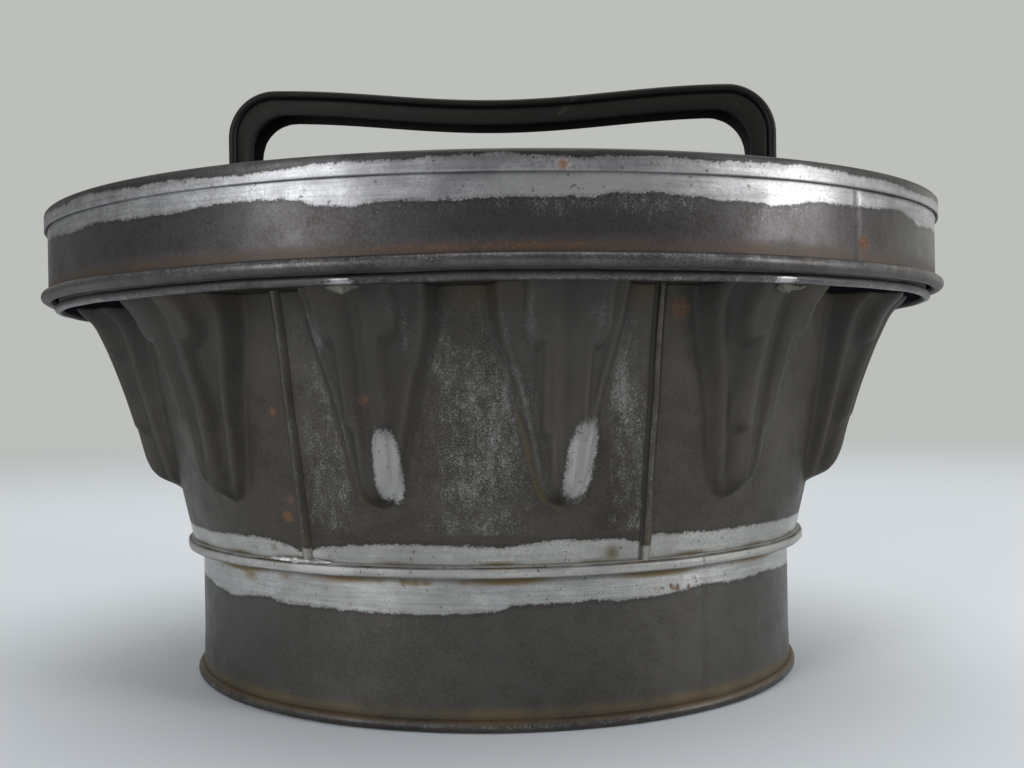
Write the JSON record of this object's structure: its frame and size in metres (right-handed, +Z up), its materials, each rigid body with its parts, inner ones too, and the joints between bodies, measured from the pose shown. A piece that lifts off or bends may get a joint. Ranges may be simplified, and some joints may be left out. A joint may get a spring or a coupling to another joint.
{
  "type": "pudding mould",
  "caption": "Old oval pudding mould of tinned steel on a foot, with pressed flutes, a wired rim, a lift-off flanged lid and a black strap handle, for steaming puddings.",
  "frame": {"origin": "middle of the foot's underside, on the ground", "axes": "+X along the mould's length, -Y is the front, +Z up"},
  "size_m": [0.26, 0.212, 0.1724],
  "materials": {
    "dark_tin": "dull oxidised tin, speckled with wear",
    "lid_tin": "half bright tin, dark below",
    "bright_tin": "bright matt tin with brown stains",
    "wired_edge": "worn tin over wire",
    "handle_black": "black, half matt",
    "solder": "bright dull solder"
  },
  "bodies": {
    "mould": {"front_panel": "dark_tin", "right_end_panel": "dark_tin", "back_panel": "dark_tin", "left_end_panel": "dark_tin", "seam_front_right": "dark_tin", "seam_back_right": "dark_tin", "seam_back_left": "dark_tin", "seam_front_left": "dark_tin", "foot_bead": "wired_edge", "foot_band": "dark_tin", "crown_seam": "bright_tin", "crown_plate": "bright_tin", "rim_ledge": "dark_tin", "rim_bead": "wired_edge", "rim_collar": "dark_tin", "rim_solder_front": "solder", "rim_solder_right": "solder", "rim_solder_back": "solder", "rim_solder_left": "solder"},
    "lid": {"lid_bead": "wired_edge", "lid_band": "lid_tin", "lid_top": "lid_tin", "handle": "handle_black", "handle_foot_left": "handle_black", "handle_foot_right": "handle_black", "rivet_left_front": "handle_black", "rivet_left_back": "handle_black", "rivet_right_front": "handle_black", "rivet_right_back": "handle_black"}
  },
  "joints": [
    {"name": "lid_lift", "type": "slide", "parent": "mould", "child": "lid", "axis": [0, 0, 1], "range_m": [0, 0.05]}
  ]
}
